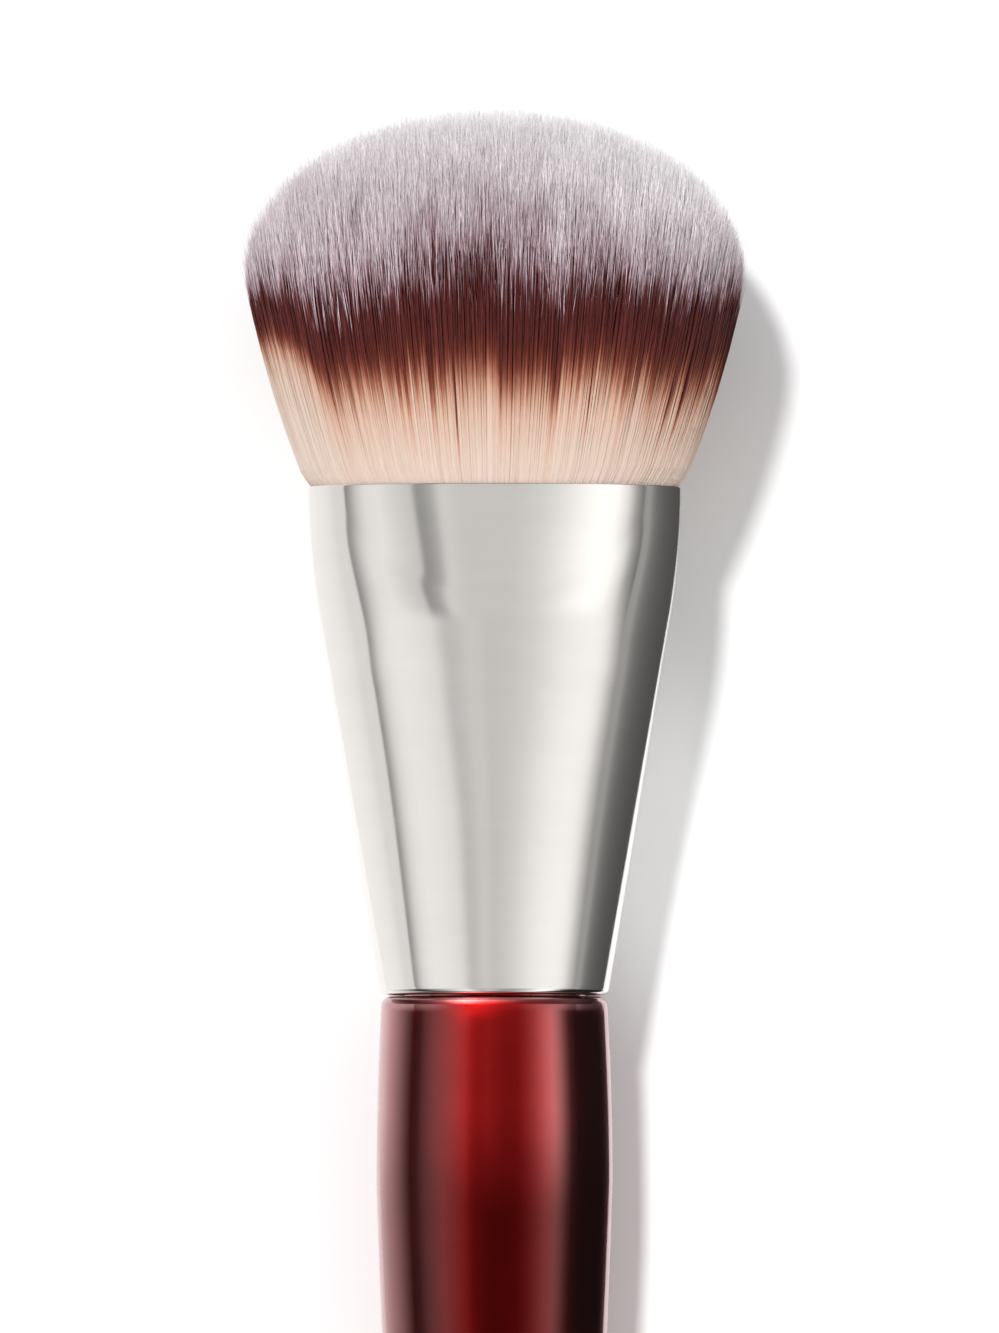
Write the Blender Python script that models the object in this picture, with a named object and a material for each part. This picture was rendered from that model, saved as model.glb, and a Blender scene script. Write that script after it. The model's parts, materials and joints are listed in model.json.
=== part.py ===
"""A foundation brush: a domed, oval head of synthetic hair in a plated metal ferrule on a lacquered wooden handle.

Every piece is modelled upright along +Z, with the seam between ferrule and handle at height zero and the hair on
top. An empty then lays the whole brush on its back, broad face up, with the head towards +Y.
"""

import math

import bmesh
import bpy
from mathutils import Matrix, Vector

MM = 0.001

# Room left between pieces that are pressed or glued together
GAP = 0.3 * MM

# Ferrule: a tube that widens as a round cone up to a soft crease and is pressed oval from there to its mouth
FERRULE_LENGTH = 37.4 * MM
FERRULE_WALL = 0.5 * MM
BASE_RADIUS = 8.4 * MM
CREASE_HALF_WIDTH = 13.0 * MM
CREASE_HALF_DEPTH = 12.6 * MM
CREASE_SOFTNESS = 2.4 * MM
PRESS_LENGTH = 9.8 * MM
MOUTH_HALF_WIDTH = 13.8 * MM
MOUTH_HALF_DEPTH = 11.1 * MM
MOUTH_POWER = 2.4
EDGE_ROLL = 0.35 * MM
LIP_ROUNDING = 0.15 * MM

# Hair: free strands above the mouth, and their packed roots inside it
HAIR_OUT = 27.8 * MM
SHOULDER_HEIGHT = 16.3 * MM
HEAD_HALF_WIDTH = 18.7 * MM
HEAD_HALF_DEPTH = 15.1 * MM
LIP_BULGE = 0.6 * MM
LIP_BULGE_HEIGHT = 1.2 * MM
STRAND_RINGS = 8
STRAND_SPACING = 0.22 * MM
TIP_LENGTH = 2.2 * MM
ROOT_DEPTH = 13.0 * MM
ROOT_PROUD = 0.3 * MM
ROOT_COLLAR = 0.9 * MM

# How deep the hair is pressed flat where the head lies on the floor
HAIR_FLAT = 0.5 * MM

# Thread that ties the roots together
THREAD_DIAMETER = 0.7 * MM
THREAD_PITCH = 1.15 * MM
THREAD_TURNS = 3
THREAD_POINTS_PER_TURN = 24

# Resin under the roots, and the air left between it and the handle's tenon
RESIN_DEPTH = 4.0 * MM
AIR_SPACE = 7.1 * MM

# Handle: a turned shape with a tenon that is glued into the ferrule
HANDLE_LENGTH = 100.0 * MM
SHOULDER_STEP = 0.06 * MM
SHOULDER_ROUNDING = 0.7 * MM
SWELL_RISE = 0.38 * MM
SWELL_DEPTH = 13.5 * MM
TAIL_RADIUS = 4.3 * MM
TAIL_ROUNDING = 3.4 * MM
END_FLAT_RADIUS = 2.4 * MM
TAPER_POWER = 1.2
GLUE_THICKNESS = 0.6 * MM
TENON_CHAMFER = 0.8 * MM

# How finely the shapes are stepped. The strands' outer ring has six times as many corners as there are rings.
AROUND = 6 * STRAND_RINGS
CONE_STEPS = 3
PRESS_STEPS = 10
SWELL_STEPS = 6
TAPER_STEPS = 20
ROUNDING_STEPS = 6
SHARP_ANGLE = math.radians(35)

# Heights above the seam that more than one piece needs
MOUTH = FERRULE_LENGTH
CREASE = MOUTH - PRESS_LENGTH
ROOT_TOP = MOUTH + ROOT_PROUD
ROOT_END = MOUTH - ROOT_DEPTH
RESIN_TOP = ROOT_END - GAP
RESIN_END = RESIN_TOP - RESIN_DEPTH
TENON_TOP = RESIN_END - AIR_SPACE
TENON_RADIUS = BASE_RADIUS - FERRULE_WALL - GLUE_THICKNESS - 2 * GAP

# How far below the ferrule's outer surface the loose-fitting pieces inside it lie
INSIDE = FERRULE_WALL + GAP


def even_steps(low, high, count):
    """Evenly spaced values from low to high, both included."""
    return [low + (high - low) * i / (count - 1) for i in range(count)]


def smooth_step(value, start, end):
    """0 up to start and 1 from end on, with a smooth rise between them."""
    share = min(max((value - start) / (end - start), 0.0), 1.0)
    return share * share * (3 - 2 * share)


def ferrule_size(height):
    """Half width, half depth and squareness of the ferrule's outline at a height above the seam."""
    up_cone = height / CREASE
    pressed = (height - CREASE) / PRESS_LENGTH
    width = BASE_RADIUS + (CREASE_HALF_WIDTH - BASE_RADIUS) * up_cone
    if pressed > 0:
        width = MOUTH_HALF_WIDTH - (MOUTH_HALF_WIDTH - CREASE_HALF_WIDTH) * (1 - pressed) ** 2
    cone_depth = BASE_RADIUS + (CREASE_HALF_DEPTH - BASE_RADIUS) * up_cone
    face_depth = CREASE_HALF_DEPTH + (MOUTH_HALF_DEPTH - CREASE_HALF_DEPTH) * pressed
    bend = smooth_step(height, CREASE - CREASE_SOFTNESS, CREASE + CREASE_SOFTNESS)
    power = 2 + (MOUTH_POWER - 2) * min(max(pressed, 0.0), 1.0)
    return width, cone_depth + (face_depth - cone_depth) * bend, power


def oval_point(half_width, half_depth, power, angle, height):
    """A point of a rounded oval: power 2 is an ellipse, and more is squarer."""
    c, s = math.cos(angle), math.sin(angle)
    x = half_width * math.copysign(abs(c) ** (2 / power), c)
    y = half_depth * math.copysign(abs(s) ** (2 / power), s)
    return (x, y, height)


def oval_outline(half_width, half_depth, power, height, count=AROUND):
    """A ring of points on a rounded oval, at even angles from +X on."""
    return [oval_point(half_width, half_depth, power, 2 * math.pi * i / count, height) for i in range(count)]


def ferrule_outline(height, inset):
    """The ring of points that lies an inset below the ferrule's outer surface at a height."""
    width, depth, power = ferrule_size(height)
    return oval_outline(width - inset, depth - inset, power, height)


def add_ring(bm, points):
    """Adds a ring of vertices at these points."""
    return [bm.verts.new(point) for point in points]


def join_rings(bm, rings):
    """Covers the space between each ring and the next with four-sided faces."""
    for low, high in zip(rings, rings[1:]):
        for i in range(len(low)):
            j = (i + 1) % len(low)
            bm.faces.new((low[i], low[j], high[j], high[i]))


def solid_through(outlines):
    """A solid that passes through these outlines and is flat at both ends."""
    bm = bmesh.new()
    rings = [add_ring(bm, outline) for outline in outlines]
    join_rings(bm, rings)
    bm.faces.new(rings[0])
    bm.faces.new(rings[-1])
    return bm


def tube_through(outlines):
    """A tube whose wall passes through these outlines and back to the first."""
    bm = bmesh.new()
    rings = [add_ring(bm, outline) for outline in outlines]
    join_rings(bm, rings + rings[:1])
    return bm


def turned(profile):
    """A solid turned on the Z axis from a profile of (radius, height) points that starts and ends on the axis."""
    bm = bmesh.new()
    verts = [bm.verts.new((radius, 0.0, height)) for radius, height in profile]
    edges = [bm.edges.new(pair) for pair in zip(verts, verts[1:])]
    bmesh.ops.spin(
        bm, geom=verts + edges, cent=(0, 0, 0), axis=(0, 0, 1), angle=2 * math.pi, steps=AROUND, use_merge=True
    )
    bmesh.ops.remove_doubles(bm, verts=bm.verts, dist=0.001 * MM)
    return bm


def plain_material(name, colour, roughness, metallic=0.0, coat=0.0):
    """A Principled material of one colour."""
    material = bpy.data.materials.new(name)
    material.use_nodes = True
    shader = material.node_tree.nodes["Principled BSDF"]
    shader.inputs["Base Color"].default_value = (*colour, 1.0)
    shader.inputs["Roughness"].default_value = roughness
    shader.inputs["Metallic"].default_value = metallic
    shader.inputs["Coat Weight"].default_value = coat
    return material


def dipped_hair_material():
    """Cream fibre with a burgundy-brown band and lilac-grey tips, coloured by height above the seam."""
    material = plain_material("dipped_fibre", (0.42, 0.33, 0.36), roughness=0.6)
    nodes, links = material.node_tree.nodes, material.node_tree.links
    place = nodes.new("ShaderNodeTexCoord")
    split = nodes.new("ShaderNodeSeparateXYZ")
    rise = nodes.new("ShaderNodeMapRange")
    rise.inputs["From Min"].default_value = MOUTH
    rise.inputs["From Max"].default_value = MOUTH + HAIR_OUT
    bands = nodes.new("ShaderNodeValToRGB")
    cream, brown, lilac = (0.76, 0.52, 0.40, 1), (0.07, 0.016, 0.018, 1), (0.50, 0.42, 0.46, 1)
    stops = bands.color_ramp.elements
    stops[0].position, stops[0].color = 0.24, cream
    stops[1].position, stops[1].color = 0.58, lilac
    for position, colour in ((0.34, brown), (0.44, brown)):
        stops.new(position).color = colour
    links.new(place.outputs["Object"], split.inputs[0])
    links.new(split.outputs["Z"], rise.inputs["Value"])
    links.new(rise.outputs["Result"], bands.inputs["Fac"])
    links.new(bands.outputs["Color"], nodes["Principled BSDF"].inputs["Base Color"])
    return material


def placed(name, data, material, axis):
    """An object that shows this mesh or curve in one material and is carried by the brush's axis."""
    data.materials.append(material)
    piece = bpy.data.objects.new(name, data)
    piece.parent = axis
    bpy.context.scene.collection.objects.link(piece)
    return piece


def piece_from(bm, name, material, axis):
    """Turns a finished bmesh into a placed object, shaded smooth except at its real edges."""
    bmesh.ops.recalc_face_normals(bm, faces=bm.faces)
    mesh = bpy.data.meshes.new(name)
    bm.to_mesh(mesh)
    bm.free()
    mesh.shade_smooth()
    mesh.set_sharp_from_angle(angle=SHARP_ANGLE)
    return placed(name, mesh, material, axis)


def make_ferrule(axis):
    """The plated tube: its base edge is rolled in, and its lip is rounded."""
    bend_start = CREASE - CREASE_SOFTNESS
    cone = even_steps(EDGE_ROLL, bend_start, CONE_STEPS)[:-1]
    press = even_steps(bend_start, MOUTH - LIP_ROUNDING, PRESS_STEPS)
    outside = [ferrule_outline(0.0, EDGE_ROLL), ferrule_outline(EDGE_ROLL / 3, EDGE_ROLL / 3)]
    outside += [ferrule_outline(height, 0.0) for height in cone + press]
    outside.append(ferrule_outline(MOUTH, LIP_ROUNDING))
    inside = [ferrule_outline(MOUTH, FERRULE_WALL - LIP_ROUNDING)]
    inside += [ferrule_outline(height, FERRULE_WALL) for height in reversed([0.0] + cone[1:] + press)]
    nickel = plain_material("nickel_plate", (0.80, 0.79, 0.76), roughness=0.12, metallic=1.0)
    return piece_from(tube_through(outside + inside), "ferrule", nickel, axis)


def handle_side(depth):
    """The handle's radius at a depth below the seam, between its rounded shoulder and its rounded tail."""
    shoulder = BASE_RADIUS - SHOULDER_STEP
    swell = shoulder + SWELL_RISE
    if depth < SWELL_DEPTH:
        return shoulder + SWELL_RISE * math.sin(math.pi / 2 * depth / SWELL_DEPTH)
    taper = (depth - SWELL_DEPTH) / (HANDLE_LENGTH - TAIL_ROUNDING - SWELL_DEPTH)
    return swell - (swell - TAIL_RADIUS) * taper**TAPER_POWER


def make_handle(axis):
    """The turned wooden handle, with its tenon inside the ferrule and a small flat on its end."""
    shoulder_end = GAP + SHOULDER_ROUNDING
    tail_start = HANDLE_LENGTH - TAIL_ROUNDING
    profile = [(0.0, TENON_TOP), (TENON_RADIUS - TENON_CHAMFER, TENON_TOP)]
    profile += [(TENON_RADIUS, TENON_TOP - TENON_CHAMFER), (TENON_RADIUS, -GAP)]
    corner = handle_side(shoulder_end) - SHOULDER_ROUNDING
    for angle in even_steps(0.0, math.pi / 2, ROUNDING_STEPS):
        radius = corner + SHOULDER_ROUNDING * math.sin(angle)
        profile.append((radius, -shoulder_end + SHOULDER_ROUNDING * math.cos(angle)))
    swell = even_steps(shoulder_end, SWELL_DEPTH, SWELL_STEPS)
    taper = even_steps(SWELL_DEPTH, tail_start, TAPER_STEPS)
    profile += [(handle_side(depth), -depth) for depth in swell[1:] + taper[1:]]
    for angle in even_steps(0.0, math.pi / 2, ROUNDING_STEPS)[1:]:
        radius = END_FLAT_RADIUS + (TAIL_RADIUS - END_FLAT_RADIUS) * math.cos(angle)
        profile.append((radius, -tail_start - TAIL_ROUNDING * math.sin(angle)))
    profile.append((0.0, -HANDLE_LENGTH))
    lacquer = plain_material("red_lacquer", (0.20, 0.008, 0.008), roughness=0.15, metallic=0.4, coat=1.0)
    return piece_from(turned(profile), "handle", lacquer, axis)


def make_tenon_glue(axis):
    """The sleeve of glue that fills the ferrule round the handle's tenon."""
    low, high = GLUE_THICKNESS, TENON_TOP - TENON_CHAMFER
    bore = TENON_RADIUS + GAP
    outside = [ferrule_outline(height, INSIDE) for height in even_steps(low, high, CONE_STEPS)]
    inside = [oval_outline(bore, bore, 2, height) for height in (high, low)]
    glue = plain_material("wood_glue", (0.62, 0.50, 0.30), roughness=0.45)
    return piece_from(tube_through(outside + inside), "tenon_glue", glue, axis)


def make_resin_plug(axis):
    """The resin that was poured on the hair's roots and holds them in the ferrule."""
    outlines = [ferrule_outline(height, INSIDE) for height in even_steps(RESIN_END, RESIN_TOP, CONE_STEPS)]
    resin = plain_material("clear_resin", (0.70, 0.58, 0.34), roughness=0.2)
    return piece_from(solid_through(outlines), "root_resin", resin, axis)


def make_thread(axis):
    """The thread wound round the hair's roots, as one tube that climbs one pitch each turn."""
    start = ROOT_END + ROOT_COLLAR + GAP + THREAD_DIAMETER / 2
    count = THREAD_TURNS * THREAD_POINTS_PER_TURN + 1
    curve = bpy.data.curves.new("binding_thread", "CURVE")
    curve.dimensions = "3D"
    curve.bevel_depth = THREAD_DIAMETER / 2
    curve.bevel_resolution = 1
    curve.use_fill_caps = True
    path = curve.splines.new("POLY")
    path.points.add(count - 1)
    for i, point in enumerate(path.points):
        turns = i / THREAD_POINTS_PER_TURN
        height = start + THREAD_PITCH * turns
        width, depth, power = ferrule_size(height)
        inset = INSIDE + THREAD_DIAMETER / 2
        point.co = (*oval_point(width - inset, depth - inset, power, 2 * math.pi * turns, height), 1.0)
    cotton = plain_material("waxed_thread", (0.75, 0.70, 0.60), roughness=0.9)
    return placed("binding_thread", curve, cotton, axis)


def strand_cells(bm):
    """Fills the roots' top with three-sided cells in rings round the axis. Returns the cells and the outer ring."""
    width, depth = MOUTH_HALF_WIDTH - INSIDE, MOUTH_HALF_DEPTH - INSIDE
    rings = [[bm.verts.new((0.0, 0.0, ROOT_TOP))]]
    for k in range(1, STRAND_RINGS + 1):
        share = k / STRAND_RINGS
        rings.append(add_ring(bm, oval_outline(share * width, share * depth, MOUTH_POWER, ROOT_TOP, 6 * k)))
    cells = []
    for k in range(1, STRAND_RINGS + 1):
        outer, inner = rings[k], rings[k - 1]
        for sextant in range(6):
            for i in range(k):
                a, b = outer[sextant * k + i], outer[(sextant * k + i + 1) % len(outer)]
                c = inner[(sextant * (k - 1) + i) % len(inner)]
                cells.append(bm.faces.new((a, b, c)))
                if i < k - 1:
                    d = inner[(sextant * (k - 1) + i + 1) % len(inner)]
                    cells.append(bm.faces.new((b, d, c)))
    return cells, rings[-1]


def ring_share(x, y, half_width, half_depth):
    """How far out a point lies in the rounded oval of these sizes: 0 on the axis, 1 on the outline."""
    total = abs(x / half_width) ** MOUTH_POWER + abs(y / half_depth) ** MOUTH_POWER
    return total ** (1 / MOUTH_POWER)


def drawn_out(bm, faces, move, tip=None):
    """Extrudes each face by itself and moves its new corners to move(corner, the face's middle).

    With a tip, each end is also drawn into a point at tip(the face's middle). Returns the ends.
    """
    ends = bmesh.ops.extrude_discrete_faces(bm, faces=faces)["faces"]
    for face in ends:
        middle = face.calc_center_median()
        for vert in face.verts:
            vert.co = move(vert.co, middle)
        if tip:
            bmesh.ops.poke(bm, faces=[face])["verts"][0].co = tip(middle)
    return ends


def grow_strands(bm, cells):
    """Draws a strand out of each cell: over the ferrule's lip, straight to the dome, and into a point there."""
    root_width, root_depth = MOUTH_HALF_WIDTH - INSIDE, MOUTH_HALF_DEPTH - INSIDE
    lip_width, lip_depth = MOUTH_HALF_WIDTH + LIP_BULGE, MOUTH_HALF_DEPTH + LIP_BULGE
    rim = 1 - 1 / (3 * STRAND_RINGS)
    to_lip = Matrix.Diagonal((lip_width / root_width, lip_depth / root_depth, 1.0))
    to_dome = Matrix.Diagonal((HEAD_HALF_WIDTH / lip_width / rim, HEAD_HALF_DEPTH / lip_depth / rim, 1.0))

    def over_lip(corner, middle):
        point = to_lip @ corner
        point.z = MOUTH + LIP_BULGE_HEIGHT
        return point

    def on_dome(corner, middle):
        share = ring_share(middle.x, middle.y, lip_width, lip_depth) / rim
        point = to_dome @ corner
        point.z = MOUTH + SHOULDER_HEIGHT
        point.z += (HAIR_OUT - SHOULDER_HEIGHT) * math.sqrt(max(1 - share * share, 0.0))
        return point

    def below_tip(corner, middle):
        top = on_dome(corner, middle)
        return corner.lerp(top, 1 - TIP_LENGTH / (top.z - corner.z))

    def tip_of(middle):
        return on_dome(middle, middle)

    bmesh.ops.inset_individual(bm, faces=cells, thickness=STRAND_SPACING / 2, use_even_offset=True)
    feet = drawn_out(bm, cells, over_lip)
    drawn_out(bm, feet, below_tip, tip=tip_of)


def make_bristle_head(axis):
    """The hair: strands fused to their packed roots, which are necked where the thread ties them."""
    bm = bmesh.new()
    cells, rim = strand_cells(bm)
    neck = INSIDE + THREAD_DIAMETER + GAP
    neck_low = ROOT_END + ROOT_COLLAR
    neck_high = neck_low + THREAD_TURNS * THREAD_PITCH + THREAD_DIAMETER + 2 * GAP
    levels = [(MOUTH - ROOT_PROUD, INSIDE), (neck_high, INSIDE), (neck_high, neck), (neck_low, neck)]
    levels += [(neck_low, INSIDE), (ROOT_END, INSIDE)]
    rings = [rim] + [add_ring(bm, ferrule_outline(height, inset)) for height, inset in levels]
    join_rings(bm, rings)
    bm.faces.new(rings[-1])
    bmesh.ops.recalc_face_normals(bm, faces=bm.faces)
    grow_strands(bm, cells)
    return piece_from(bm, "bristle_head", dipped_hair_material(), axis)


def lowest_point(piece, pitch):
    """How low a piece reaches beside the origin when the brush lies on its back with its head raised by a pitch."""
    return min(v.co.z * math.sin(pitch) - v.co.y * math.cos(pitch) for v in piece.data.vertices)


def resting_pitch(head, handle, steepest=math.radians(20), halvings=40):
    """The pitch at which the handle's tail touches the floor and the head presses its hair flat on it."""
    low, high = 0.0, steepest
    for _ in range(halvings):
        middle = (low + high) / 2
        if lowest_point(head, middle) + HAIR_FLAT < lowest_point(handle, middle):
            low = middle
        else:
            high = middle
    return (low + high) / 2


def press_flat(head, turn, floor):
    """Raises the hair that would lie below the floor up to it. The turn takes the head's own axes to the room's."""
    up = turn.inverted() @ Vector((0.0, 0.0, 1.0))
    for v in head.data.vertices:
        depth = floor - (turn @ v.co).z
        if depth > 0:
            v.co += depth * up
    head.data.update()


def lay_down(axis, head, handle):
    """Lays the brush on its back on the floor, with the middle of its length and width over the origin."""
    pitch = resting_pitch(head, handle)
    floor = lowest_point(handle, pitch)
    axis.rotation_euler = (pitch - math.pi / 2, 0.0, 0.0)
    turn = axis.rotation_euler.to_matrix()
    press_flat(head, turn, floor)
    along = [(turn @ v.co).y for piece in (head, handle) for v in piece.data.vertices]
    axis.location = (0.0, -(min(along) + max(along)) / 2, -floor)


def main():
    for old in list(bpy.data.objects):
        bpy.data.objects.remove(old)
    axis = bpy.data.objects.new("brush_axis", None)
    bpy.context.scene.collection.objects.link(axis)
    head = make_bristle_head(axis)
    make_thread(axis)
    make_resin_plug(axis)
    make_ferrule(axis)
    make_tenon_glue(axis)
    handle = make_handle(axis)
    lay_down(axis, head, handle)


main()
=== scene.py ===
"""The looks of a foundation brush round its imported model: hair by the strand, plated tube, lacquered handle
and a studio.

Brush axes: +Z runs from the seam between ferrule and handle towards the hair, +X across the head's width, and
-Y is the broad face, which looks up because the brush lies on its back. Pieces are modelled in these axes and
laid down by one matrix.
"""

import json
import math

import bpy
import numpy as np
from mathutils import Matrix, Vector


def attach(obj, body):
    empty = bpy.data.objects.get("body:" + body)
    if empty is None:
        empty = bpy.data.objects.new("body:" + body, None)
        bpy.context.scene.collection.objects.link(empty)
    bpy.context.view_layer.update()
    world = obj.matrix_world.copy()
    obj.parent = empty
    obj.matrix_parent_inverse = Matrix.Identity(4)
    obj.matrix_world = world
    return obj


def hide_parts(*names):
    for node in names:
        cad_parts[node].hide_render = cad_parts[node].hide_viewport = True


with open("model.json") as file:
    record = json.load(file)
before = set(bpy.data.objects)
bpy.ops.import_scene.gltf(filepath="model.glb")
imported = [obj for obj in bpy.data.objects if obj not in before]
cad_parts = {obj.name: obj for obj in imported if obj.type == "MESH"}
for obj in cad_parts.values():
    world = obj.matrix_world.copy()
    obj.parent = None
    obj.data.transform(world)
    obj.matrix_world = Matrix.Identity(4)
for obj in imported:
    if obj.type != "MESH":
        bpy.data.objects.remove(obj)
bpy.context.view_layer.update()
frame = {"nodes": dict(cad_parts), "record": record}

MM = 0.001
SEED = 11

# Ferrule: a round cone up to a crease, and pressed oval from there to its mouth. The crease is softer towards
# the sides, and the tube is a little squarer round it.
FERRULE_WALL = 0.5 * MM
BASE_RADIUS = 8.4 * MM
CREASE_HALF_WIDTH = 13.0 * MM
CREASE_HALF_DEPTH = 12.6 * MM
CREASE_SOFTNESS = 1.7 * MM
SIDE_SOFTNESS = 7.9 * MM
CREASE_LIFT = 1.0 * MM
CREASE_SQUARENESS = 0.22
CREASE_ZONE = (-4.0 * MM, 8.0 * MM)
PRESS_LENGTH = 9.8 * MM
OVAL_LENGTH = 15.5 * MM
MOUTH_HALF_WIDTH = 13.8 * MM
MOUTH_HALF_DEPTH = 11.1 * MM
MOUTH_POWER = 2.4
EDGE_ROLL = 0.35 * MM
LIP_ROUNDING = 0.15 * MM
FERRULE_AROUND = 288
OUTER_RINGS = 130
INNER_RINGS = 40
EDGE_STEPS = 7

# Handle: a rounded shoulder under the ferrule, a slight swell, a long taper and a rounded tail
SEAM_GAP = 0.12 * MM
SHOULDER_STEP = 0.06 * MM
SHOULDER_ROUNDING = 0.7 * MM
SWELL_RISE = 0.38 * MM
SWELL_DEPTH = 13.5 * MM
TAIL_RADIUS = 4.3 * MM
TAIL_ROUNDING = 3.4 * MM
END_FLAT_RADIUS = 2.4 * MM
TAPER_POWER = 1.2
TENON_RADIUS = 6.7 * MM
TENON_CHAMFER = 0.8 * MM
HANDLE_AROUND = 192
HANDLE_RINGS = 160
ROUNDING_STEPS = 12
SHARP_ANGLE = math.radians(40)

# Hair: the head's shape above the mouth
SHOULDER_HEIGHT = 16.3 * MM
HAIR_OUT = 27.8 * MM
HEAD_HALF_WIDTH = 18.55 * MM
HEAD_HALF_DEPTH = 14.95 * MM
LIP_BULGE = 0.45 * MM
LIP_BULGE_START = -0.3 * MM
LIP_BULGE_HEIGHT = 1.2 * MM
SIDE_CURVE = 0.45
MOST_RISE = 1.2

# Hair: single fibres and the core behind them
FIBRE_RADIUS = 0.050 * MM
ROOT_THICKENING = 0.5
THICKNESS_RANGE = (0.8, 1.2)
FIBRE_SPACING = 0.13 * MM
PLACE_JITTER = 0.6
FIBRE_TAPER = 3.2 * MM
NEAR_TIP = 0.3 * FIBRE_TAPER
TIP_FINENESS = 1.4
ROOT_DEPTH = 1.5 * MM
OUT_OF_LIP = 0.45 * MM
TIP_SCATTER = 0.34 * MM
TIP_SHORTFALL = 0.6
FIBRE_LEAN = 0.10 * MM
FIBRE_TURN = 0.25
ANY_TURN = 6
TIP_BEND = 0.16 * MM
TIP_ZONE = 4.2 * MM
MOST_FREE = 1.6
SIDE_SHARE = 0.935
CORE_SHARE = 0.962
CORE_DEPTH = 0.75 * TIP_ZONE
CORE_AROUND = 240
CORE_SIDE_RINGS = 24
CORE_DOME_RINGS = 30
FEATHER_SHARE = 0.80
FEATHERING = 1.1 * MM
MOST_FEATHERING = 3.2 * MM
EDGE_EVENNESS = 0.6
EVEN_EDGE = (0.75, 0.95)
ROOT_PACKING = 0.8
PACKED_UP_TO = (4 * MM, 9 * MM)

# Hair: which way fibres face
HULL_NORMALS = 0.75
SIDE_FACING = 0.7
EDGE_WIDTH = 0.4
EDGE_GLOW = 0.9
EDGE_GLOW_BELOW = 0.5
EDGE_GLOW_DEPTH = 2 * MM

# Hair: how fibres stick together, in small clumps and in wider tufts, and how many pieces the head is made of
CLUMP_WIDTH = 0.30 * MM
CLUMP_SHARE = 0.6
CLUMP_JITTER = 0.3
TUFT_WIDTH = 1.4 * MM
TUFTS = 6

# Hair: how far the dipped bands lie below the tips, and how much that differs from fibre to fibre
BAND_DOME = 0.5
BAND_SCATTER = 0.5 * MM
TUFT_SCATTER = 0.45 * MM
STREAK_WIDTH = 0.45 * MM
STREAK_LENGTH = 2.5 * MM
STREAK_RANGE = 1.6
STREAK_FROM = (4 * MM, 10 * MM)
ROOT_STEADINESS = 0.9
STEADY_FROM = (1.5 * MM, 5 * MM)
PALE_END = 3.0 * MM
PALE_END_LENGTH = 1.7 * MM
BAND_LOW = -8.0 * MM
BAND_HIGH = 20.0 * MM

# Hair: how the bands differ over the head, as painted light and shade. Each pair of places is where a change
# starts and where it is full.
LEFT = (0.3, 0.65)
FAR_LEFT = (0.74, 0.98)
# Painted light: the dark band is paler and narrower towards the left side, where the key light comes from.
PAINTED_LEFT_DROP = 1.5 * MM
LEFT_DROP_FROM = (2.8 * MM, 4.8 * MM)
LEFT_DROP_ENDS = (5.5 * MM, 8 * MM)
PAINTED_SIDE_RISE = 0.1 * MM
SIDE_RISE_FROM = (5 * MM, 7 * MM)
PAINTED_LEFT_RISE = 5.2 * MM
LEFT_RISE_FROM = (2.5 * MM, 5.5 * MM)
# Painted light and shade: the tips are paler towards the right side and darker towards the left.
PAINTED_TIP_SLANT = 2.2 * MM
TIP_SLANT_ENDS = (-2.5 * MM, 1.0 * MM)
# Painted shade: the dark band reaches further up in the middle of each broad face, with a darker patch in the
# pale tips.
PAINTED_MIDDLE_SHADE = 1.85 * MM
MIDDLE_WIDTH = 8.0 * MM
MIDDLE_FROM = (-6 * MM, -2 * MM)
MIDDLE_ENDS = (1.5 * MM, 4 * MM)
PAINTED_PATCH_SHADE = 0.45
PATCH_ABOVE_TIPS = 1.2
PATCH_NARROWNESS = 2

# Hair: unevenness of its colour, from fibre to fibre and in flecks along each
SIDE_TONES = 400
MIDDLE_TONE = 0.5
TONE_JITTER = 0.5 / SIDE_TONES
MOST_TONE = 0.99
CLUMP_TONES = 0.2
FLECK_LENGTH = 0.9 * MM
FLECK_TONES = 0.7
TIP_MOTTLE = 0.65
ROOT_MOTTLE = 0.07
MOTTLE_CHANGE = (3.0, 11.0)
CORE_TONE = 0.3
MAP_MARGIN = 0.02
MAP_EDGE = 0.001

# Hair: where it presses on the floor
PRESSED_ZONE = 1.8 * MM
FLOOR_CLEARANCE = 0.04 * MM

# Materials: where the values of a noise mostly lie, and how the lacquer's top coat grows towards a slant
NOISE_RANGE = (0.3, 0.7)
COAT_SLANTS = (0.02, 0.30)
COAT_WEIGHTS = (0.04, 1.0)

# Studio: the light from each roll angle, in degrees, from the left wall (-90) over the ceiling (0) to the
# right wall (90), for what lies on the tail's side and on the hair's side. The ferrule's cone reflects the
# first and its pressed faces the second.
BRIGHTEST = 2.2
TAIL_SIDE = (
    (-90, 0.28), (-87, 0.36), (-83, 0.58), (-78, 0.78), (-70, 0.90), (-62, 0.94), (-50, 0.92), (-42, 0.88),
    (-36, 0.85), (-31, 0.78), (-27, 0.66), (-23.5, 0.58), (-18, 0.60), (-12, 0.67), (-6, 0.67), (-2, 0.62),
    (6, 0.65), (18, 0.74), (32, 0.90), (44, 1.00), (58, 1.05), (68, 1.03), (75, 0.90), (81, 0.66), (90, 0.34),
)
HAIR_SIDE = (
    (-90, 0.26), (-86, 0.34), (-82, 0.47), (-76, 0.68), (-68, 0.86), (-56, 0.90), (-42, 0.74), (-34, 0.67),
    (-32.5, 0.64), (-30.5, 0.32), (-27, 0.35), (-23, 0.43), (-21, 0.50), (-18, 0.72), (-15, 0.72), (-9, 0.65),
    (4, 0.65), (16, 0.76), (27, 0.93), (37, 1.10), (50, 1.25), (62, 1.18), (72, 0.85), (80, 0.40), (90, 0.15),
)
SIDES_MEET = (-17.0, 8.0)
FAR_END_FROM = (27.0, 42.0)
FAR_END_LEVEL = 0.45

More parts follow.
